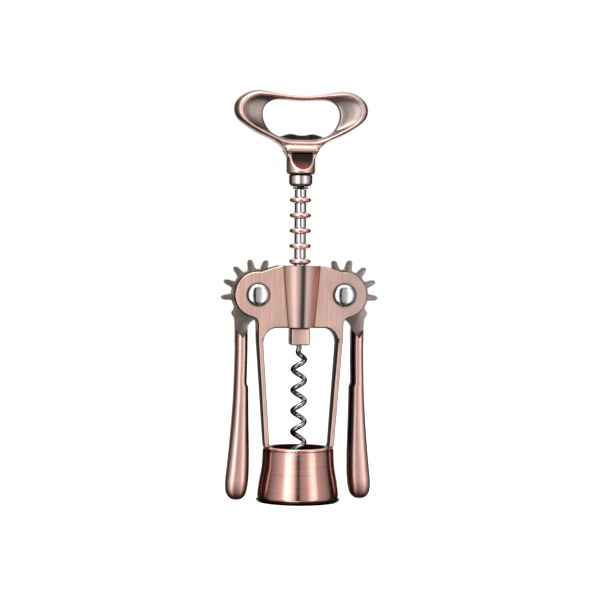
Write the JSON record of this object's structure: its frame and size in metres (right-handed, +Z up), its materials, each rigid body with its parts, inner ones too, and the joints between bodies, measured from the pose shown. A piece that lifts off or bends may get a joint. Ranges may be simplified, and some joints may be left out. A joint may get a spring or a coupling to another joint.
{
  "type": "lever corkscrew",
  "caption": "Wing corkscrew with two geared levers, a ring rack, an open-frame body with a bell foot and a bottle-cap lifter handle.",
  "frame": {"origin": "centre of the bell's bottom rim, on the surface that the corkscrew stands on", "axes": "+Z up along the worm and rack, +X towards the right-hand lever, -Y towards the front, where the rivet heads are"},
  "size_m": [0.07, 0.0374, 0.1816],
  "materials": {
    "frame_copper": "zinc die casting with a brushed antique-copper plate, near black in its recesses",
    "lever_copper": "zinc die casting with a satin antique-copper plate, greyer on the gear plate",
    "rack_copper": "polished copper plate with dark grooves",
    "handle_copper": "bright antique-copper rims and dark, glossy sides",
    "polished_steel": "polished steel",
    "inner_steel": "plain drawn steel"
  },
  "bodies": {
    "frame": {"frame_bell": "frame_copper", "frame_yoke": "frame_copper", "frame_leg_left": "frame_copper", "frame_leg_right": "frame_copper", "pivot_rivet_left": "polished_steel", "pivot_rivet_right": "polished_steel", "pivot_cap_left": "polished_steel", "pivot_cap_right": "polished_steel"},
    "rack": {"rack_sleeve": "rack_copper"},
    "screw": {"handle": "handle_copper", "handle_collar": "handle_copper", "handle_pin": "inner_steel", "spindle": "inner_steel", "thrust_washer_upper": "inner_steel", "thrust_washer_lower": "inner_steel", "worm_block": "handle_copper", "worm_pin": "inner_steel", "worm": "polished_steel"},
    "left_lever": {"lever_left": "lever_copper"},
    "right_lever": {"lever_right": "lever_copper"}
  },
  "joints": [
    {"name": "rack_slide", "type": "slide", "parent": "frame", "child": "rack", "axis": [0, 0, -1], "range_m": [0, 0.0355]},
    {"name": "screw_turn", "type": "hinge", "parent": "rack", "child": "screw", "pos_m": [0, 0, 0.1], "axis": [0, 0, 1], "continuous": true},
    {"name": "lever_left_pivot", "type": "hinge", "parent": "frame", "child": "left_lever", "pos_m": [-0.0193, 0, 0.0915], "axis": [0, 1, 0], "range_deg": [0, 146]},
    {"name": "lever_right_pivot", "type": "hinge", "parent": "frame", "child": "right_lever", "pos_m": [0.0193, 0, 0.0915], "axis": [0, -1, 0], "range_deg": [0, 146]}
  ],
  "couplings": [
    {"joint": "lever_left_pivot", "follows": "rack_slide", "rad_per_m": 71.497},
    {"joint": "lever_right_pivot", "follows": "rack_slide", "rad_per_m": 71.497}
  ]
}
